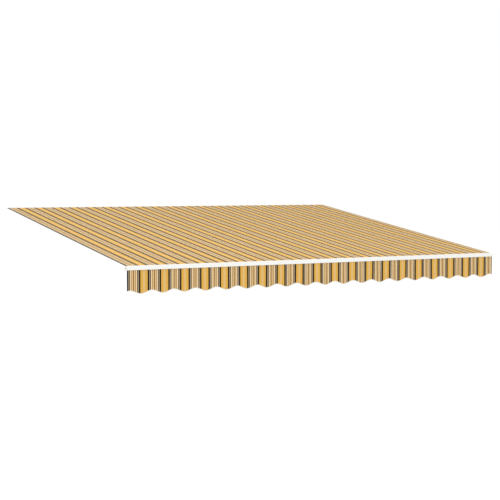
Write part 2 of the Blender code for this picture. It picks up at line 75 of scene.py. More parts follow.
REAR_ROD = middle("rear_keder")
FRONT_ROD = middle("front_keder")
VALANCE_ROD = middle("valance_keder")
ROD_RADIUS = (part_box("rear_keder")[1].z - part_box("rear_keder")[0].z) / 2
CLOTH_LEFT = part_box("canopy_width_1")[0].x
CLOTH_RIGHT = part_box(f"canopy_width_{WIDTH_COUNT}")[1].x
WIDTH = (CLOTH_RIGHT - CLOTH_LEFT) / WIDTH_COUNT

# How far the bar's underside lies below the valance's rod
BAR_UNDERSIDE = VALANCE_ROD.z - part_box("front_bar")[0].z

# The canopy's plane: from rod to rod, down its fall, and square to it
CANOPY_LENGTH = (FRONT_ROD - REAR_ROD).length
FORWARD = (FRONT_ROD - REAR_ROD).normalized()
ABOVE = Vector((0, FORWARD.z, -FORWARD.y))

# Vertices that lie closer than this are one
SAME_PLACE = 0.001 * MM

# Sizes and colours that a user may change


def linear(code):
    """An sRGB hex colour as the linear red, green and blue that Blender mixes."""
    channels = [int(code[place:place + 2], 16) / 255 for place in (1, 3, 5)]
    return [value / 12.92 if value <= 0.04045 else ((value + 0.055) / 1.055) ** 2.4 for value in channels]


def length(name, description, millimetres):
    """A size that is written in millimetres and kept in metres."""
    return FloatProperty(name=name, description=description, default=millimetres * MM, unit="LENGTH")


def colour(name, description, code):
    """A colour that is written as sRGB hex and kept linear."""
    return FloatVectorProperty(name=name, description=description, default=linear(code), subtype="COLOR")


def angle(name, description, degrees):
    """An angle that is written in degrees and kept in radians."""
    return FloatProperty(name=name, description=description, default=math.radians(degrees), unit="ROTATION")


class ClothSizes(bpy.types.PropertyGroup):
    """How the awning's cloth is cut and sewn"""

    thickness: length("Cloth", "Thickness of the woven cloth", 0.5)
    layer_gap: length("Layer gap", "Air between two layers that are sewn together", 0.3)
    seam_lap: length("Seam lap", "How far one width lies over the next", 22)
    seam_step: length("Seam step", "Length over which a width climbs onto the next", 1.5)
    side_hem: length("Side hem", "Cloth that is folded under at each side", 25)
    pocket_neck: length("Pocket neck", "From a rod's turn of cloth to where its layers lie flat", 0.75)
    canopy_pocket: length("Canopy pocket", "Cloth that is folded back round a canopy rod", 35)
    valance_pocket: length("Valance pocket", "Cloth that is folded back round the valance rod", 20)
    hem_stop: length("Hem stop", "Distance from a pocket's edge to the end of a side hem", 6)
    valance_drop: length("Valance drop", "Lowest point of the valance's cloth below the bar", 224)
    wave_pitch: length("Wave pitch", "From one low point of the valance to the next", 233.6)
    wave_rise: length("Wave rise", "Height of the valance's wave", 31)
    first_low: length("First low", "From the left end to the first low point", 147)
    binding_depth: length("Binding depth", "How far the tape covers the wavy edge", 8)
    tape: length("Tape", "Thickness of the binding tape", 0.6)
    sag: length("Sag", "How far the canopy sags between its rods", 1.5)
    ripple: length("Ripple", "Height of the canopy's slack between its seams", 1.6)
    pucker: length("Pucker", "Height of the small waves that stitching draws into a seam", 0.5)
    pucker_pitch: length("Pucker pitch", "From one of those small waves to the next", 48)
    pucker_reach: length("Pucker reach", "How far they spread to each side of the seam", 30)
    swing: length("Swing", "How far the valance's edge waves to the front and back", 4)
    stitch: length("Stitch", "From one needle hole to the next", 5.5)
    thread: length("Thread", "Thickness of the sewing thread", 0.6)
    edge_row: length("Edge row", "From a cut or folded edge to the nearest row of stitches", 4)
    rod_row: length("Rod row", "From a canopy rod's middle to the nearest row of stitches", 13)
    first_hole: length("First hole", "From the bar's underside to the first stitch of a valance seam", 2)


class StripeColours(bpy.types.PropertyGroup):
    """The yarns of one repeat of the stripe, from its beige middle to its brown middle"""

    repeat: length("Repeat", "Width of one repeat of the stripe", 219.1)
    first_middle: length("First middle", "From the left end to the first beige middle", 179)
    beige: colour("Beige", "Yarn between the two golden stripes", "#E6BF7E")
    gold: colour("Gold", "Golden yellow yarn", "#E5B14E")
    black: colour("Black", "Near-black yarn that edges the gold", "#0E0903")
    grey: colour("Warm grey", "Yarn next to the black", "#A6937A")
    umber: colour("Umber", "Dark grey-brown yarn", "#574527")
    pale: colour("Pale cream", "Lightest yarn", "#F9DCAF")
    tan: colour("Tan", "Tan yarn", "#AB8549")
    cream: colour("Cream", "Cream yarn", "#F2CE98")
    brown: colour("Brown", "Brown yarn in the middle of the fine stripes", "#7A5519")


class StagePlan(bpy.types.PropertyGroup):
    """Camera, floor and light"""

    lens: FloatProperty(name="Lens", description="Focal length", default=88.29, unit="CAMERA")
    turn: angle("Turn", "How far the camera looks to the right", 29.676)
    tilt: angle("Tilt", "How far the camera looks down", 3.1285)
    place: FloatVectorProperty(
        name="Place",
        description="Where the camera stands",
        default=(-6.991, -14.178, 0.301),
        subtype="TRANSLATION",
    )
    floor_drop: length("Floor drop", "How far the floor lies below the rear rod", 4600)
    sky: FloatProperty(name="Sky", description="Strength of the light from all round", default=0.77)
    lamp: FloatProperty(name="Lamp", description="Power of the overhead lamp", default=775, unit="POWER")
    lamp_place: FloatVectorProperty(
        name="Lamp place",
        description="Where the overhead lamp hangs",
        default=(-3.6, -8.5, 11),
        subtype="TRANSLATION",
    )
    lamp_length: length("Lamp length", "Longer side of the overhead lamp", 12000)
    lamp_width: length("Lamp width", "Shorter side of the overhead lamp", 9000)


# Materials: one function adds a node, another starts a finish

# A colour Mix node's sockets: how much of the second colour, the two colours, and the mixed one
MIX_SHARE, MIX_FIRST, MIX_SECOND, MIXED = 0, 6, 7, 2


def add_node(tree, kind, inputs=None, **settings):
    """A node with its settings, its inputs set to values or linked from other nodes' sockets."""
    made = tree.nodes.new(kind)
    for name, value in settings.items():
        setattr(made, name, value)
    for name, value in (inputs or {}).items():
        if isinstance(value, bpy.types.NodeSocket):
            tree.links.new(value, made.inputs[name])
        else:
            made.inputs[name].default_value = value
    return made


def new_finish(name, numbers, on_cut=False):
    """A material, its node tree, its shader and the place that its patterns follow, in metres.

    The numbers are set on the shader's own sockets. The place is a point of the piece, or with on_cut the
    same point on the cloth's flat cut.
    """
    made = bpy.data.materials.new(name)
    made.use_nodes = True
    tree = made.node_tree
    shader = tree.nodes["Principled BSDF"]
    for socket, value in numbers.items():
        shader.inputs[socket].default_value = value
    if on_cut:
        return made, tree, shader, add_node(tree, "ShaderNodeUVMap", uv_map="cut").outputs[0]
    return made, tree, shader, add_node(tree, "ShaderNodeTexCoord").outputs["Object"]


def shared_finish(name, make):
    """A finish that more than one step takes: the one that is there already, or else a new one."""
    return bpy.data.materials.get(name) or make(name)


def mottle(tree, shader, place, codes, size, stretch=(1, 1, 1)):
    """Colour a surface with two hex colours that drift into each other in patches of a real size."""
    scaled = add_node(tree, "ShaderNodeVectorMath", {0: place, 1: stretch}, operation="MULTIPLY")
    inputs = {"Vector": scaled.outputs[0], "Scale": 1 / size, "Detail": 3}
    noise = add_node(tree, "ShaderNodeTexNoise", inputs)
    first, second = [(*linear(code), 1) for code in codes]
    inputs = {MIX_SHARE: noise.outputs[0], MIX_FIRST: first, MIX_SECOND: second}
    mix = add_node(tree, "ShaderNodeMix", inputs, data_type="RGBA")
    tree.links.new(mix.outputs[MIXED], shader.inputs["Base Color"])


def grain(tree, shader, place, size, depth):
    """An even small relief, such as orange peel or a spark-eroded skin."""
    noise = add_node(tree, "ShaderNodeTexNoise", {"Vector": place, "Scale": 1 / size, "Detail": 2})
    bump = add_node(tree, "ShaderNodeBump", {"Height": noise.outputs[0], "Distance": depth})
    tree.links.new(bump.outputs[0], shader.inputs["Normal"])


def ridges(tree, place, axis, spacing):
    """Rounded ridges across one axis of a place, of a real spacing."""
    split = add_node(tree, "ShaderNodeSeparateXYZ", {0: place})
    turns = {0: split.outputs[axis], 1: math.tau / spacing}
    turned = add_node(tree, "ShaderNodeMath", turns, operation="MULTIPLY")
    return add_node(tree, "ShaderNodeMath", {0: turned.outputs[0]}, operation="SINE").outputs[0]


def stripe_colour(tree, cut):
    """The stripe: a repeat is folded in half at its beige middle, and a ramp gives each yarn its share."""
    stripes = bpy.context.scene.awning_stripes
    half = stripes.repeat / 2
    across = add_node(tree, "ShaderNodeSeparateXYZ", {0: cut}).outputs[0]
    first = CLOTH_LEFT + stripes.first_middle
    centred = add_node(tree, "ShaderNodeMath", {0: across, 1: first}, operation="SUBTRACT")
    folded = add_node(tree, "ShaderNodeMath", {0: centred.outputs[0], 1: half}, operation="PINGPONG")
    share = add_node(tree, "ShaderNodeMath", {0: folded.outputs[0], 1: half}, operation="DIVIDE")
    made = add_node(tree, "ShaderNodeValToRGB", {0: share.outputs[0]})
    made.color_ramp.interpolation = "CONSTANT"

    # Each yarn after the beige, and the share of the half repeat at which it starts
    yarns = (
        (0.11, stripes.gold),
        (0.346, stripes.black),
        (0.49, stripes.grey),
        (0.59, stripes.umber),
        (0.67, stripes.pale),
        (0.78, stripes.tan),
        (0.86, stripes.cream),
        (0.95, stripes.brown),
    )
    stops = made.color_ramp.elements
    stops.remove(stops[1])
    stops[0].position = 0
    stops[0].color = (*stripes.beige, 1)
    for start, yarn in yarns:
        stops.new(start).color = (*yarn, 1)
    return made.outputs[0]


def awning_cloth(name):
    """Solution-dyed acrylic, plain woven: matt, with yarns that differ a little along the stripes."""
    numbers = {"Roughness": 0.88, "Specular IOR Level": 0.2, "Sheen Weight": 0.03}
    made, tree, shader, cut = new_finish(name, numbers, on_cut=True)
    yarn = stripe_colour(tree, cut)

    # Slubs are thick and thin places in the warp yarns, which darken and lighten them along the stripe
    slub_width, slub_length = 3 * MM, 200 * MM
    darkest, lightest = 0.9, 1.1
    scale = (1 / slub_width, 1 / slub_length, 1)
    slub_place = add_node(tree, "ShaderNodeVectorMath", {0: cut, 1: scale}, operation="MULTIPLY")
    slub = add_node(tree, "ShaderNodeTexNoise", {"Vector": slub_place.outputs[0], "Scale": 1, "Detail": 2})
    inputs = {"Value": slub.outputs[0], "To Min": darkest, "To Max": lightest}
    shade = add_node(tree, "ShaderNodeMapRange", inputs)
    inputs = {MIX_SHARE: 1.0, MIX_FIRST: yarn, MIX_SECOND: shade.outputs[0]}
    tone = add_node(tree, "ShaderNodeMix", inputs, data_type="RGBA", blend_type="MULTIPLY")
    tree.links.new(tone.outputs[MIXED], shader.inputs["Base Color"])

    # The real threads are 0.5 mm wide. They are drawn 2 mm wide, because finer ones don't show
    over_and_under = 4 * MM
    warp, weft = ridges(tree, cut, 0, over_and_under), ridges(tree, cut, 1, over_and_under)
    weave = add_node(tree, "ShaderNodeMath", {0: warp, 1: weft}, operation="MULTIPLY")
    inputs = {"Height": weave.outputs[0], "Distance": 0.15 * MM, "Strength": 0.6}
    tree.links.new(add_node(tree, "ShaderNodeBump", inputs).outputs[0], shader.inputs["Normal"])
    return made


def binding_tape():
    """Woven polyester tape: off-white and matt, with fine ribs across its length."""
    numbers = {"Roughness": 0.8, "Sheen Weight": 0.05}
    made, tree, shader, cut = new_finish("off-white woven tape", numbers, on_cut=True)
    mottle(tree, shader, cut, ("#F3F0E8", "#EAE6DB"), size=12 * MM)
    ribs = ridges(tree, cut, 0, spacing=1.5 * MM)
    bump = add_node(tree, "ShaderNodeBump", {"Height": ribs, "Distance": 0.1 * MM, "Strength": 0.5})
    tree.links.new(bump.outputs[0], shader.inputs["Normal"])
    return made


def sewing_thread(name):
    """Twisted polyester thread in cream: slightly glossy, so that a row of stitches catches the light."""
    made, tree, shader, place = new_finish(name, {"Roughness": 0.5, "Sheen Weight": 0.1})
    mottle(tree, shader, place, ("#EBD9B4", "#D9C499"), size=4 * MM)
    grain(tree, shader, place, size=0.4 * MM, depth=0.05 * MM)
    return made


def powder_coat():
    """Polyester powder coat on extruded aluminium: white and satin, with a soft orange peel."""
    numbers = {"Roughness": 0.38, "Coat Weight": 0.1, "Coat Roughness": 0.25}
    made, tree, shader, place = new_finish("white powder coat", numbers)
    mottle(tree, shader, place, ("#FCFCFA", "#F7F7F4"), size=400 * MM)
    grain(tree, shader, place, size=2.5 * MM, depth=0.03 * MM)
    return made


def cast_coat():
    """Powder coat on cast aluminium: as on the bar, but the casting's skin shows through it."""
    made, tree, shader, place = new_finish("white powder coat on casting", {"Roughness": 0.45})
    mottle(tree, shader, place, ("#F6F6F3", "#EEEEEA"), size=30 * MM)
    grain(tree, shader, place, size=1.8 * MM, depth=0.12 * MM)
    return made


def moulded_nylon():
    """Injection-moulded nylon: white, a little warmer than the bar, with a spark-eroded skin."""
    made, tree, shader, place = new_finish("white moulded nylon", {"Roughness": 0.52})
    mottle(tree, shader, place, ("#F6F5F0", "#F0EFE9"), size=15 * MM)
    grain(tree, shader, place, size=0.9 * MM, depth=0.04 * MM)
    return made


def keder_pvc():
    """Extruded soft PVC rod: off-white and smooth, with faint draw lines along it."""
    made, tree, shader, place = new_finish("off-white PVC rod", {"Roughness": 0.42})
    mottle(tree, shader, place, ("#E6E5DF", "#DAD9D2"), size=1.5 * MM, stretch=(0.01, 1, 1))
    return made


def zinc_plate():
    """Bright zinc on steel: a metal with faint blue and straw patches, and a dull bloom here and there."""
    made, tree, shader, place = new_finish("bright zinc plate", {"Metallic": 1.0})
    bright, dull, bloom_size = 0.22, 0.42, 4 * MM
    mottle(tree, shader, place, ("#D2D4D6", "#C9C4B6"), size=6 * MM)
    noise = add_node(tree, "ShaderNodeTexNoise", {"Vector": place, "Scale": 1 / bloom_size})
    inputs = {"Value": noise.outputs[0], "To Min": bright, "To Max": dull}
    bloom = add_node(tree, "ShaderNodeMapRange", inputs)
    tree.links.new(bloom.outputs[0], shader.inputs["Roughness"])
    return made


def cloth_and_thread():
    """The two finishes that the canopy and the valance share."""
    cloth = shared_finish("striped acrylic awning cloth", awning_cloth)
    return cloth, shared_finish("cream polyester thread", sewing_thread)


# Pieces


def add_object(name, bm, finish=None):
    """An object at the origin, whose mesh is a bmesh with its place in it."""
    mesh = bpy.data.meshes.new(name)
    bm.to_mesh(mesh)
    bm.free()
    if finish:
        mesh.materials.append(finish)
    made = bpy.data.objects.new(name, mesh)
    bpy.context.scene.collection.objects.link(made)
    return made


def as_plain_mesh(item):
    """A mesh with an object's modifiers applied."""
    graph = bpy.context.evaluated_depsgraph_get()
    return bpy.data.meshes.new_from_object(item.evaluated_get(graph))


def smooth(mesh, degrees=50):
    """Shade a mesh smooth, apart from the edges at which its faces turn by more than this."""
    mesh.shade_smooth()
    mesh.set_sharp_from_angle(angle=math.radians(degrees))


def settle(piece, slot, *nodes):
    """Ride on the awning's one body, and stand for these CAD nodes. The slot is not used."""
    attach(piece, "root")
    if nodes:
        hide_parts(*nodes)
    return piece


def finish_nodes(names, finish):
    """Give CAD nodes, whose shapes stay, a finish in place of their plain one."""
    for name in names:
        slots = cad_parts[name].data.materials
        slots.clear()
        slots.append(finish)


def refine(names, slot, finish, radius=0):
    """Stand a merged, smoothly shaded copy for each CAD node, with its sharp edges rounded by a radius."""
    flat_degrees, sharp_degrees, rounding_steps = 1, 35, 3
    for name in names:
        bm = bmesh.new()
        bm.from_mesh(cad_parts[name].data)
        bmesh.ops.remove_doubles(bm, verts=bm.verts[:], dist=SAME_PLACE)
        if radius:
            flat, sharp = math.radians(flat_degrees), math.radians(sharp_degrees)
            bmesh.ops.dissolve_limit(bm, angle_limit=flat, verts=bm.verts[:], edges=bm.edges[:])
            bmesh.ops.bevel(
                bm,
                geom=[edge for edge in bm.edges if edge.calc_face_angle(0) > sharp],
                offset=radius,
                segments=rounding_steps,
                profile=0.5,
                affect="EDGES",
                material=-1,
                clamp_overlap=True,
            )
        bm.normal_update()
        piece = add_object(f"fine_{name}", bm, finish)
        smooth(piece.data, sharp_degrees)
        shading = piece.modifiers.new("Shading", "WEIGHTED_NORMAL")
        shading.keep_sharp = True
        piece.data = as_plain_mesh(piece)
        piece.modifiers.clear()
        settle(piece, slot, name)


# Sections and places of sewn cloth


def arc(centre, radius, start, end, steps):
    """Points from one angle to another, in degrees, both ends included."""
    angles = [math.radians(start + (end - start) * step / steps) for step in range(steps + 1)]
    return [Vector(centre) + radius * Vector((math.cos(turn), math.sin(turn))) for turn in angles]


def evenly(start, end, step):
    """Numbers from start to end, both included, no further apart than step."""
    count = max(1, math.ceil(abs(end - start) / step))
    return [start + (end - start) * number / count for number in range(count + 1)]


def layer_step():
    """From the middle of one layer of cloth to the middle of the next."""
    sizes = bpy.context.scene.awning_cloth
    return sizes.thickness + sizes.layer_gap


def upper_layer():
    """How high the upper layer's top and underside lie over the middle between the two layers."""
    sizes = bpy.context.scene.awning_cloth
    return (layer_step() + sizes.thickness) / 2, (layer_step() - sizes.thickness) / 2


def pocket_turn():
    """The cloth's turn round a rod at (0, 0), which it leaves towards -x in two layers."""
    steps = 16
    sizes = bpy.context.scene.awning_cloth
    radius = ROD_RADIUS + sizes.layer_gap + sizes.thickness / 2
    neck = Vector((-radius - sizes.pocket_neck, layer_step() / 2))
    tangent = math.degrees(math.atan2(neck.y, neck.x) - math.acos(radius / neck.length))
    return [neck, *arc((0, 0), radius, tangent, -tangent, steps), Vector((neck.x, -neck.y))]


def leftwards(path):
    """For each point of a path, how it moves when the path is offset to its left by 1."""
    moves = []
    for index, point in enumerate(path):
        runs = []
        if index > 0:
            runs.append((point - path[index - 1]).normalized())
        if index + 1 < len(path):
            runs.append((path[index + 1] - point).normalized())
        sides = [Vector((-run.y, run.x)) for run in runs]
        mean = sum(sides, Vector((0, 0))).normalized()
        moves.append(mean / mean.dot(sides[0]))
    return moves


def distances(path):
    """How far along a path each of its points lies."""
    run = [0.0]
    for before, after in zip(path, path[1:]):
        run.append(run[-1] + (after - before).length)
    return run


def waves(x, *terms):
    """The sum at x of sine waves, each given as its length, its height and its start in turns."""
    return sum(height * math.sin(math.tau * (x / span + start)) for span, height, start in terms)


def canopy_slack(x, forward):
    """How far the canopy lies off its plane: a sag, faint ripples, and puckers along its seams."""
    sizes = bpy.context.scene.awning_cloth
    share = min(max(forward / CANOPY_LENGTH, 0), 1)
    across = (x - CLOTH_LEFT) / WIDTH
    seam = round(across)

    # Each width hollows between its seams, and two waves wander across it as they run forward
    hollow_share = 0.6
    hollow = -math.sin(math.pi * across) ** 2
    drift = waves(x, (830 * MM, 1, 0.31 * share), (370 * MM, 0.6, -0.2 * share))
    ripple = hollow_share * hollow + (1 - hollow_share) * drift
    near_seam = math.exp(-((across - seam) * WIDTH / sizes.pucker_reach) ** 2)
    pucker = near_seam * waves(forward, (sizes.pucker_pitch, 1, seam / 2))
    slack = sizes.ripple * ripple + sizes.pucker * pucker
    return math.sin(math.pi * share) * (slack - sizes.sag)


def canopy_place(x, forward, height):
    """A place on the canopy: forward of its rear rod and above the middle of its layers."""
    return REAR_ROD + Vector((x, 0, 0)) + FORWARD * forward + ABOVE * (height + canopy_slack(x, forward))


def wave(x):
    """How far below its rod the valance's cloth shows, down to the top of its binding."""
    sizes = bpy.context.scene.awning_cloth
    turn = math.tau * (x - CLOTH_LEFT - sizes.first_low) / sizes.wave_pitch
    return BAR_UNDERSIDE + sizes.valance_drop - sizes.wave_rise * (1 - math.cos(turn)) / 2


def valance_swing(x, down):
    """How far the valance hangs forward: nothing at the bar, and more towards its free edge."""
    sizes = bpy.context.scene.awning_cloth
    share = max(0, (down - BAR_UNDERSIDE) / sizes.valance_drop)

    # Two long waves, and a short one that follows the wavy edge
    folds = waves(x, (1310 * MM, 0.55, 0.16), (470 * MM, 0.28, 0.35), (sizes.wave_pitch, 0.17, 0.11))
    return sizes.swing * share ** 1.5 * folds


def valance_place(x, down, forward):
    """A place on the valance: below its rod and forward of the middle of its layers."""
    return VALANCE_ROD + Vector((x, -forward - valance_swing(x, down), -down))


def width_sides(index):
    """The left and right sides of one width, without the lap over its neighbour."""
    left = CLOTH_LEFT + index * WIDTH
    return left, left + WIDTH


def width_columns(index, step):
    """One width as columns of (x, rise off its layer, place across the cut), and which of them are its hem."""
    turn_steps, hem_step, lap_step = 6, 8 * MM, 6 * MM
    sizes = bpy.context.scene.awning_cloth
    left, right = width_sides(index)
    radius = layer_step() / 2
    fold = radius + sizes.thickness / 2
    turn = [(-point.y, point.x - radius) for point in arc((0, 0), radius, 0, 180, turn_steps)[1:]]
    part = math.pi * radius / len(turn)
    hem = [(across, rise, part * number) for number, (across, rise) in enumerate(turn, start=1)]
    flat = evenly(0, sizes.side_hem, hem_step)[1:]
    hem += [(across, -2 * radius, math.pi * radius + across) for across in flat]
    start = left + (sizes.layer_gap if index else fold)
    if index == WIDTH_COUNT - 1:
        end = right - fold
        columns = [(x, 0, x) for x in evenly(start, end, step)]
        folded = [(end - across, rise, end + run) for across, rise, run in hem]
        return columns + folded, range(len(columns), len(columns) + len(folded))
    columns = [(x, 0, x) for x in evenly(start, right - sizes.seam_step, step)]
    columns += [(x, layer_step(), x) for x in evenly(right, right + sizes.seam_lap, lap_step)]
    if index:
        return columns, range(0)
    folded = [(start + across, rise, start - run) for across, rise, run in reversed(hem)]
    return folded + columns, range(len(folded))


def sewn_sheet(name, columns, row_count, place, hem, hem_rows, thickness, finish):
    """A sheet of cloth: its flat cut as a grid, put in its sewn place and given its thickness.

    place(column, row) gives a vertex's place, and how far along the cut it lies. Where a hem's columns run
    past its rows, they are cut away. The UV map holds the flat cut.
    """
    bm = bmesh.new()
    bmesh.ops.create_grid(bm, x_segments=len(columns) - 1, y_segments=row_count - 1, size=1)
    flat = {}
    spare = []
    for number, vert in enumerate(bm.verts):
        row, column = divmod(number, len(columns))
        vert.co, along = place(columns[column], row)
        flat[vert] = (columns[column][2], along)
        if column in hem and row not in hem_rows:
            spare.append(vert)
    cut = bm.loops.layers.uv.new("cut")
    for face in bm.faces:
        for loop in face.loops:
            loop[cut].uv = flat[loop.vert]
    bmesh.ops.delete(bm, geom=spare, context="VERTS")
    bmesh.ops.recalc_face_normals(bm, faces=bm.faces[:])
    piece = add_object(name, bm, finish)
    wall = piece.modifiers.new("Thickness", "SOLIDIFY")
    wall.thickness = thickness
    wall.offset = 0
    wall.use_even_offset = True
    wall.use_rim = True
    piece.data = as_plain_mesh(piece)
    piece.modifiers.clear()
    smooth(piece.data)
    return piece


# Stitches


def stitch_row(count):
    """A row of stitches along X, from a needle hole at 0. Each thread rises, lies flat and dives."""
    height_share, run_share, slope_share = 0.9, 0.86, 0.2
    sizes = bpy.context.scene.awning_cloth
    rise = sizes.thread * height_share
    run = sizes.stitch * run_share
    slope, flat = run * slope_share, run * (1 - 2 * slope_share)
    bm = bmesh.new()
    bmesh.ops.create_circle(bm, cap_ends=True, segments=3, radius=sizes.thread / 2)
    upright = Matrix.Rotation(math.radians(90), 3, "Y")
    bmesh.ops.rotate(bm, verts=bm.verts[:], cent=(0, 0, 0), matrix=upright)
    bmesh.ops.translate(bm, verts=bm.verts[:], vec=((sizes.stitch - run) / 2, 0, -rise))
    end = bm.faces[:]
    for step in ((slope, 0, rise), (flat, 0, 0), (slope, 0, -rise)):
        rim = [edge for face in end for edge in face.edges]
        made = bmesh.ops.extrude_face_region(bm, geom=end + rim)["geom"]
        moved = [item for item in made if isinstance(item, bmesh.types.BMVert)]
        bmesh.ops.translate(bm, verts=moved, vec=step)
        end = [item for item in made if isinstance(item, bmesh.types.BMFace)]
    bmesh.ops.recalc_face_normals(bm, faces=bm.faces[:])
    item = add_object("stitch", bm)
    array = item.modifiers.new("Row", "ARRAY")
    array.count = count
    array.use_relative_offset = False
    array.use_constant_offset = True
    array.constant_offset_displace = (sizes.stitch, 0, 0)
    row = as_plain_mesh(item)
    bpy.data.objects.remove(item, do_unlink=True)
    return row


def sew(bm, start, end, height, side, place):
    """Add a row of stitches between two places on a cloth, on its upper side (1) or its lower side (-1).

    A cloth's places mirror what is put on its upper side, so there the faces are turned round again.
    """
    start, end = Vector(start), Vector(end)
    along = (end - start).normalized()
    across = Vector((-along.y, along.x))
    count = int((end - start).length / bpy.context.scene.awning_cloth.stitch)
    verts_before, faces_before = len(bm.verts), len(bm.faces)
    bm.from_mesh(stitch_row(count))
    bm.verts.ensure_lookup_table()
    for vert in bm.verts[verts_before:]:
        spot = start + along * vert.co.x + across * vert.co.y
        vert.co = place(spot.x, spot.y, height + side * vert.co.z)
    if side > 0:
        bm.faces.ensure_lookup_table()
        bmesh.ops.reverse_faces(bm, faces=bm.faces[faces_before:])


def finished_stitches(name, bm, finish):
    """Rows of stitches as a piece of their own, with the three sides of the thread shaded round."""
    bm.normal_update()
    piece = add_object(name, bm, finish)
    smooth(piece.data, degrees=80)
    return piece


def canopy_stitches(index, finish):
    """One width's stitches: two rows in its seam or its side hem, and two in each of its pockets."""
    sizes = bpy.context.scene.awning_cloth
    left, right = width_sides(index)
    top, under = upper_layer()
    pocket_rows = (sizes.rod_row, sizes.canopy_pocket - sizes.edge_row)
    hem_end = sizes.canopy_pocket + sizes.hem_stop
    bm = bmesh.new()
    if index < WIDTH_COUNT - 1:
        for x in (right + sizes.edge_row, right + sizes.seam_lap - sizes.edge_row):
            ends = (x, sizes.rod_row), (x, CANOPY_LENGTH - sizes.rod_row)
            sew(bm, *ends, top + layer_step(), 1, canopy_place)
            ends = (x, hem_end), (x, CANOPY_LENGTH - hem_end)
            sew(bm, *ends, under, -1, canopy_place)
    for outer, edge, inwards in ((0, left, 1), (WIDTH_COUNT - 1, right, -1)):
        if index != outer:
            continue
        for distance in (sizes.edge_row, sizes.side_hem - sizes.edge_row):
            x = edge + inwards * distance
            ends = (x, hem_end), (x, CANOPY_LENGTH - hem_end)
            sew(bm, *ends, top, 1, canopy_place)
            sew(bm, *ends, -top, -1, canopy_place)
    start = left + (sizes.seam_lap if index else 0) + sizes.edge_row
    for distance in pocket_rows:
        for forward in (distance, CANOPY_LENGTH - distance):
            ends = (start, forward), (right - sizes.edge_row, forward)
            sew(bm, *ends, top, 1, canopy_place)
            sew(bm, *ends, -top, -1, canopy_place)
    return finished_stitches(f"canopy_stitches_{index + 1}", bm, finish)


def valance_stitches(index, finish):
    """One width's stitches: two rows in its seam, one in its side hem, and one in its pocket."""
    sizes = bpy.context.scene.awning_cloth
    left, right = width_sides(index)
    top, under = upper_layer()
    low = sizes.valance_pocket + sizes.hem_stop
    pocket_row = sizes.valance_pocket - sizes.edge_row
    bm = bmesh.new()
    if index < WIDTH_COUNT - 1:
        for x in (right + sizes.edge_row, right + sizes.seam_lap - sizes.edge_row):
            ends = (x, BAR_UNDERSIDE + sizes.first_hole), (x, wave(x))
            sew(bm, *ends, top + layer_step(), 1, valance_place)
            sew(bm, (x, low), (x, wave(x)), under, -1, valance_place)
    for outer, edge, inwards in ((0, left, 1), (WIDTH_COUNT - 1, right, -1)):
        if index == outer:
            x = edge + inwards * (sizes.side_hem - sizes.edge_row)
            sew(bm, (x, low), (x, wave(x) - sizes.hem_stop), top, 1, valance_place)
            sew(bm, (x, low), (x, wave(x) - sizes.hem_stop), -top, -1, valance_place)
    start = left + (sizes.seam_lap if index else 0) + sizes.edge_row
    ends = (start, pocket_row), (right - sizes.edge_row, pocket_row)
    sew(bm, *ends, top, 1, valance_place)
    sew(bm, *ends, -top, -1, valance_place)
    return finished_stitches(f"valance_stitches_{index + 1}", bm, finish)


# The sewn pieces


def sew_canopy_width(index, cloth, thread):
    """One width of the canopy, which runs from pocket to pocket, and its stitches."""
    column_step, row_step, fold_step = 16 * MM, 20 * MM, 10 * MM
    sizes = bpy.context.scene.awning_cloth
    half = layer_step() / 2
    hem = sizes.canopy_pocket + sizes.hem_stop
    rear = [Vector((-point.x, point.y)) for point in reversed(pocket_turn())]
    front = [point + Vector((CANOPY_LENGTH, 0)) for point in pocket_turn()]
    run = [Vector((forward, half)) for forward in evenly(hem, CANOPY_LENGTH - hem, row_step)]
    fold = evenly(sizes.canopy_pocket, rear[0].x, fold_step)[:-1]
    rear_fold = [Vector((forward, -half)) for forward in fold]
    front_fold = [Vector((CANOPY_LENGTH - point.x, -half)) for point in reversed(rear_fold)]
    section = [*rear_fold, *rear, *run, *front, *front_fold]
    moves, runs = leftwards(section), distances(section)
    columns, hem_columns = width_columns(index, column_step)
    first = len(rear_fold) + len(rear)

    def place(column, row):
        x, rise, _ = column
        point = section[row] + moves[row] * rise
        return canopy_place(x, point.x, point.y), runs[row]

    name = f"canopy_cloth_{index + 1}"
    hem_rows = range(first, first + len(run))
    piece = sewn_sheet(name, columns, len(section), place, hem_columns, hem_rows, sizes.thickness, cloth)
    settle(piece, "awning_cloth", f"canopy_width_{index + 1}")
    stitches = settle(canopy_stitches(index, thread), "binding_tape")


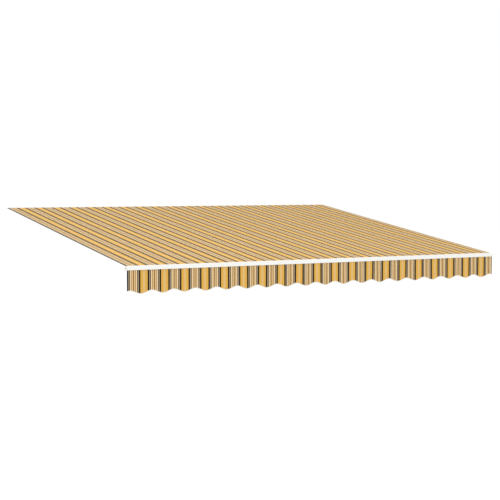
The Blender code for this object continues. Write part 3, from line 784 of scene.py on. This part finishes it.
def sew_valance_width(index, cloth, thread):
    """One width of the valance, which hangs from its pocket to its wavy edge, and its stitches."""
    column_step, fold_step, drop_rows = 5 * MM, 5 * MM, 12
    sizes = bpy.context.scene.awning_cloth
    half = layer_step() / 2
    turn = [Vector((-point.x, point.y)) for point in reversed(pocket_turn())]
    fold = [Vector((down, -half)) for down in evenly(sizes.valance_pocket, turn[0].x, fold_step)[:-1]]
    low = sizes.valance_pocket + sizes.hem_stop
    head = [*fold, *turn, Vector((low, half))]
    moves, runs = leftwards(head), distances(head)
    columns, hem_columns = width_columns(index, column_step)
    under_binding = sizes.binding_depth - sizes.tape - sizes.layer_gap

    def place(column, row):
        x, rise, _ = column
        if row < len(head):
            point = head[row] + moves[row] * rise
            return valance_place(x, point.x, point.y), runs[row]
        share = (row - len(head) + 1) / drop_rows
        hem_end = wave(x) - sizes.hem_stop
        down = low + (hem_end - low) * share if share <= 1 else wave(x) + under_binding
        return valance_place(x, down, half + rise), runs[-1] + down - low

    name = f"valance_cloth_{index + 1}"
    hem_rows = range(len(head) - 1, len(head) + drop_rows)
    row_count = len(head) + drop_rows + 1
    piece = sewn_sheet(name, columns, row_count, place, hem_columns, hem_rows, sizes.thickness, cloth)
    settle(piece, "awning_cloth", f"valance_width_{index + 1}")
    stitches = settle(valance_stitches(index, thread), "binding_tape")
    across = columns[-1][2] - columns[0][2]
    edges = [place(column, row_count - 1)[1] for column in columns]
    cut, rods = (across, max(edges)), ["valance_keder"]
    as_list(rods)


def seam_span(number):
    """Between which places the binding lies on a seam, numbered from the left."""
    sizes = bpy.context.scene.awning_cloth
    seam = CLOTH_LEFT + number * WIDTH
    return seam - sizes.seam_step - sizes.layer_gap, seam + sizes.seam_lap + sizes.layer_gap


def seam_rise(x):
    """How far the binding's front stands out at x: over a seam it lies on one more layer."""
    sizes = bpy.context.scene.awning_cloth
    nearest = round((x - CLOTH_LEFT - sizes.seam_lap / 2) / WIDTH)
    if nearest not in range(1, WIDTH_COUNT):
        return 0
    start, end = seam_span(nearest)
    outside = max(start - x, x - end, 0)
    return layer_step() * max(0, 1 - outside / sizes.seam_step)


def sew_binding(tape, thread):
    """The tape folded over the wavy edge, and the row of stitches that holds it."""
    column_step, turn_steps = 5 * MM, 6
    sizes = bpy.context.scene.awning_cloth
    reach = (sizes.thickness + sizes.tape) / 2 + sizes.layer_gap
    back = layer_step() / 2 - reach
    places = set(evenly(CLOTH_LEFT, CLOTH_RIGHT, column_step))
    for number in range(1, WIDTH_COUNT):
        start, end = seam_span(number)
        places |= {start - sizes.seam_step, start, end, end + sizes.seam_step}
    edge = sorted(places)
    along = distances([Vector((x, wave(x))) for x in edge])
    columns = [(x, 0, run) for x, run in zip(edge, along)]

    def section(x):
        """The tape's section at x, as points (down, forward) from its front leg round to its back leg."""
        front = layer_step() / 2 + reach + seam_rise(x)
        radius = (front - back) / 2
        turn_top = sizes.binding_depth - sizes.tape / 2 - radius
        turn = arc((turn_top, (front + back) / 2), radius, 90, -90, turn_steps)
        legs = [Vector((down, front)) for down in (0, turn_top / 2)]
        return [*legs, *turn, Vector((turn_top / 2, back)), Vector((0, back))]

    def place(column, row):
        x = column[0]
        points = section(x)
        point = points[row]
        return valance_place(x, wave(x) + point.x, point.y), distances(points)[row]

    def front_place(x, down, height):
        return valance_place(x, wave(x) + down, height + seam_rise(x))

    def back_place(x, down, height):
        return valance_place(x, wave(x) + down, height)

    row_count = len(section(0))
    piece = sewn_sheet("binding", columns, row_count, place, range(0), range(0), sizes.tape, tape)
    settle(piece, "binding_tape", "valance_binding")
    face = layer_step() / 2 + reach + sizes.tape / 2
    row = sizes.binding_depth / 2
    bm = bmesh.new()
    ends = (CLOTH_LEFT + sizes.edge_row, row), (CLOTH_RIGHT - sizes.edge_row, row)
    sew(bm, *ends, face, 1, front_place)
    sew(bm, *ends, back - sizes.tape / 2, -1, back_place)
    stitches = settle(finished_stitches("binding_stitches", bm, thread), "binding_tape")
    cut = (along[-1], distances(section(0))[-1])


# Stage


def seen_directly(tree):
    """1 for what the camera sees, straight on, in a gloss or through glass, and 0 for what only lights."""
    path = add_node(tree, "ShaderNodeLightPath")
    rays = {0: path.outputs["Is Camera Ray"], 1: path.outputs["Is Glossy Ray"]}
    either = add_node(tree, "ShaderNodeMath", rays, operation="MAXIMUM")
    rays = {0: either.outputs[0], 1: path.outputs["Is Transmission Ray"]}
    return add_node(tree, "ShaderNodeMath", rays, operation="MAXIMUM").outputs[0]


def light_from_all_round(strength):
    """White behind everything, and a soft even light on the awning."""
    world = bpy.data.worlds.new("white studio")
    bpy.context.scene.world = world
    world.use_nodes = True
    tree = world.node_tree
    shown = seen_directly(tree)
    light = add_node(tree, "ShaderNodeBackground", {"Color": (1, 1, 1, 1), "Strength": strength})
    white = add_node(tree, "ShaderNodeBackground", {"Color": (1, 1, 1, 1), "Strength": 1.0})
    mix = add_node(tree, "ShaderNodeMixShader", {0: shown, 1: light.outputs[0], 2: white.outputs[0]})
    tree.links.new(mix.outputs[0], tree.nodes["World Output"].inputs["Surface"])


def lay_floor(height):
    """A pale floor that reaches past the view, as white as the backdrop where no shadow falls.

    Its underside is clear, so that the awning can also be looked at from below.
    """
    half_width, patch, glow_strength = 80, 2.0, 0.3
    bm = bmesh.new()
    bmesh.ops.create_grid(bm, x_segments=1, y_segments=1, size=half_width)
    bmesh.ops.translate(bm, verts=bm.verts[:], vec=(0, 0, height))
    numbers = {"Roughness": 0.9, "Emission Color": (1, 1, 1, 1)}
    made, tree, shader, place = new_finish("white studio floor", numbers)
    mottle(tree, shader, place, ("#FAFAF8", "#F6F6F4"), size=patch)
    glow = add_node(tree, "ShaderNodeMath", {0: seen_directly(tree), 1: glow_strength}, operation="MULTIPLY")
    tree.links.new(glow.outputs[0], shader.inputs["Emission Strength"])
    side = add_node(tree, "ShaderNodeNewGeometry").outputs["Backfacing"]
    clear = add_node(tree, "ShaderNodeBsdfTransparent").outputs[0]
    mix = add_node(tree, "ShaderNodeMixShader", {0: side, 1: shader.outputs[0], 2: clear})
    tree.links.new(mix.outputs[0], tree.nodes["Material Output"].inputs["Surface"])
    add_object("studio_floor", bm, made)


def hang_lamp(stage):
    """One broad lamp high in front, which shows the fall of the canopy and the round of the bar."""
    data = bpy.data.lights.new("overhead_lamp", "AREA")
    data.shape = "RECTANGLE"
    data.size = stage.lamp_length
    data.size_y = stage.lamp_width
    data.energy = stage.lamp
    lamp = bpy.data.objects.new("overhead_lamp", data)
    lamp.location = stage.lamp_place
    aim = (REAR_ROD + FRONT_ROD) / 2 - lamp.location
    lamp.rotation_euler = aim.to_track_quat("-Z", "Y").to_euler()
    bpy.context.scene.collection.objects.link(lamp)


def set_camera(stage):
    """Stand the camera in its place, turned and tilted but level."""
    data = bpy.data.cameras.new("camera")
    data.lens = stage.lens
    data.sensor_width = 36
    data.clip_end = 300
    camera = bpy.data.objects.new("camera", data)
    camera.location = stage.place
    camera.rotation_euler = (math.radians(90) - stage.tilt, 0, -stage.turn)
    bpy.context.scene.collection.objects.link(camera)
    bpy.context.scene.camera = camera


# Operators, in the order in which they run


class AWNING_OT_canopy(bpy.types.Operator):
    """Sew the canopy from its widths, with their seams, side hems and rod pockets"""

    bl_idname = "awning.canopy"
    bl_label = "Canopy"

    def execute(self, context):
        cloth, thread = cloth_and_thread()
        for index in range(WIDTH_COUNT):
            sew_canopy_width(index, cloth, thread)
        return {"FINISHED"}


class AWNING_OT_valance(bpy.types.Operator):
    """Sew the valance from its widths, cut its wavy edge and bind it with tape"""

    bl_idname = "awning.valance"
    bl_label = "Valance"

    def execute(self, context):
        cloth, thread = cloth_and_thread()
        for index in range(WIDTH_COUNT):
            sew_valance_width(index, cloth, thread)
        sew_binding(binding_tape(), thread)
        return {"FINISHED"}


class AWNING_OT_bar(bpy.types.Operator):
    """Coat the front bar, and finish its end caps and the keder rods"""

    bl_idname = "awning.bar"
    bl_label = "Front bar"

    def execute(self, context):
        refine(["front_bar"], "coated_bar", powder_coat())
        refine(["end_cap_left", "end_cap_right"], "moulded_cap", moulded_nylon())
        finish_nodes(["rear_keder", "front_keder", "valance_keder"], keder_pvc())
        return {"FINISHED"}


class AWNING_OT_fittings(bpy.types.Operator):
    """Finish the arm brackets, and plate their bolts and nuts and the caps' screws"""

    bl_idname = "awning.fittings"
    bl_label = "Fittings"

    def execute(self, context):
        zinc = zinc_plate()
        refine(["arm_bracket_left", "arm_bracket_right"], "cast_bracket", cast_coat(), radius=0.9 * MM)
        bolts = [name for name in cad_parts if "bolt" in name]
        screws_and_nuts = [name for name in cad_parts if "screw" in name or "nut" in name]
        refine(bolts, "plated_steel", zinc, radius=0.35 * MM)
        refine(screws_and_nuts, "plated_steel", zinc)
        return {"FINISHED"}


class AWNING_OT_stage(bpy.types.Operator):
    """Set the camera, the white floor and the light"""

    bl_idname = "awning.stage"
    bl_label = "Stage"

    def execute(self, context):
        stage = context.scene.awning_stage
        context.scene.view_settings.view_transform = "Standard"
        set_camera(stage)
        lay_floor(REAR_ROD.z - stage.floor_drop)
        light_from_all_round(stage.sky)
        hang_lamp(stage)
        return {"FINISHED"}


class AWNING_PT_panel(bpy.types.Panel):
    """Every step of the awning, and the sizes and colours that it takes"""

    bl_label = "Striped awning"
    bl_idname = "AWNING_PT_panel"
    bl_space_type = "VIEW_3D"
    bl_region_type = "UI"
    bl_category = "Awning"

    def draw(self, context):
        for step in STEPS:
            self.layout.operator(step.bl_idname)
        for group in GROUPS:
            box = self.layout.box()
            box.label(text=GROUPS[group].__doc__)
            for name in GROUPS[group].__annotations__:
                box.prop(getattr(context.scene, group), name)


GROUPS = {"awning_cloth": ClothSizes, "awning_stripes": StripeColours, "awning_stage": StagePlan}
STEPS = (AWNING_OT_canopy, AWNING_OT_valance, AWNING_OT_bar, AWNING_OT_fittings, AWNING_OT_stage)


def register():
    for made in (*GROUPS.values(), *STEPS, AWNING_PT_panel):
        bpy.utils.register_class(made)
    for name, group in GROUPS.items():
        setattr(bpy.types.Scene, name, PointerProperty(type=group))


def unregister():
    for name in GROUPS:
        delattr(bpy.types.Scene, name)
    for made in reversed((*GROUPS.values(), *STEPS, AWNING_PT_panel)):
        bpy.utils.unregister_class(made)


def main():
    register()
    bpy.ops.awning.canopy()
    bpy.ops.awning.valance()
    bpy.ops.awning.bar()
    bpy.ops.awning.fittings()
    bpy.ops.awning.stage()


if __name__ == "__main__":
    main()
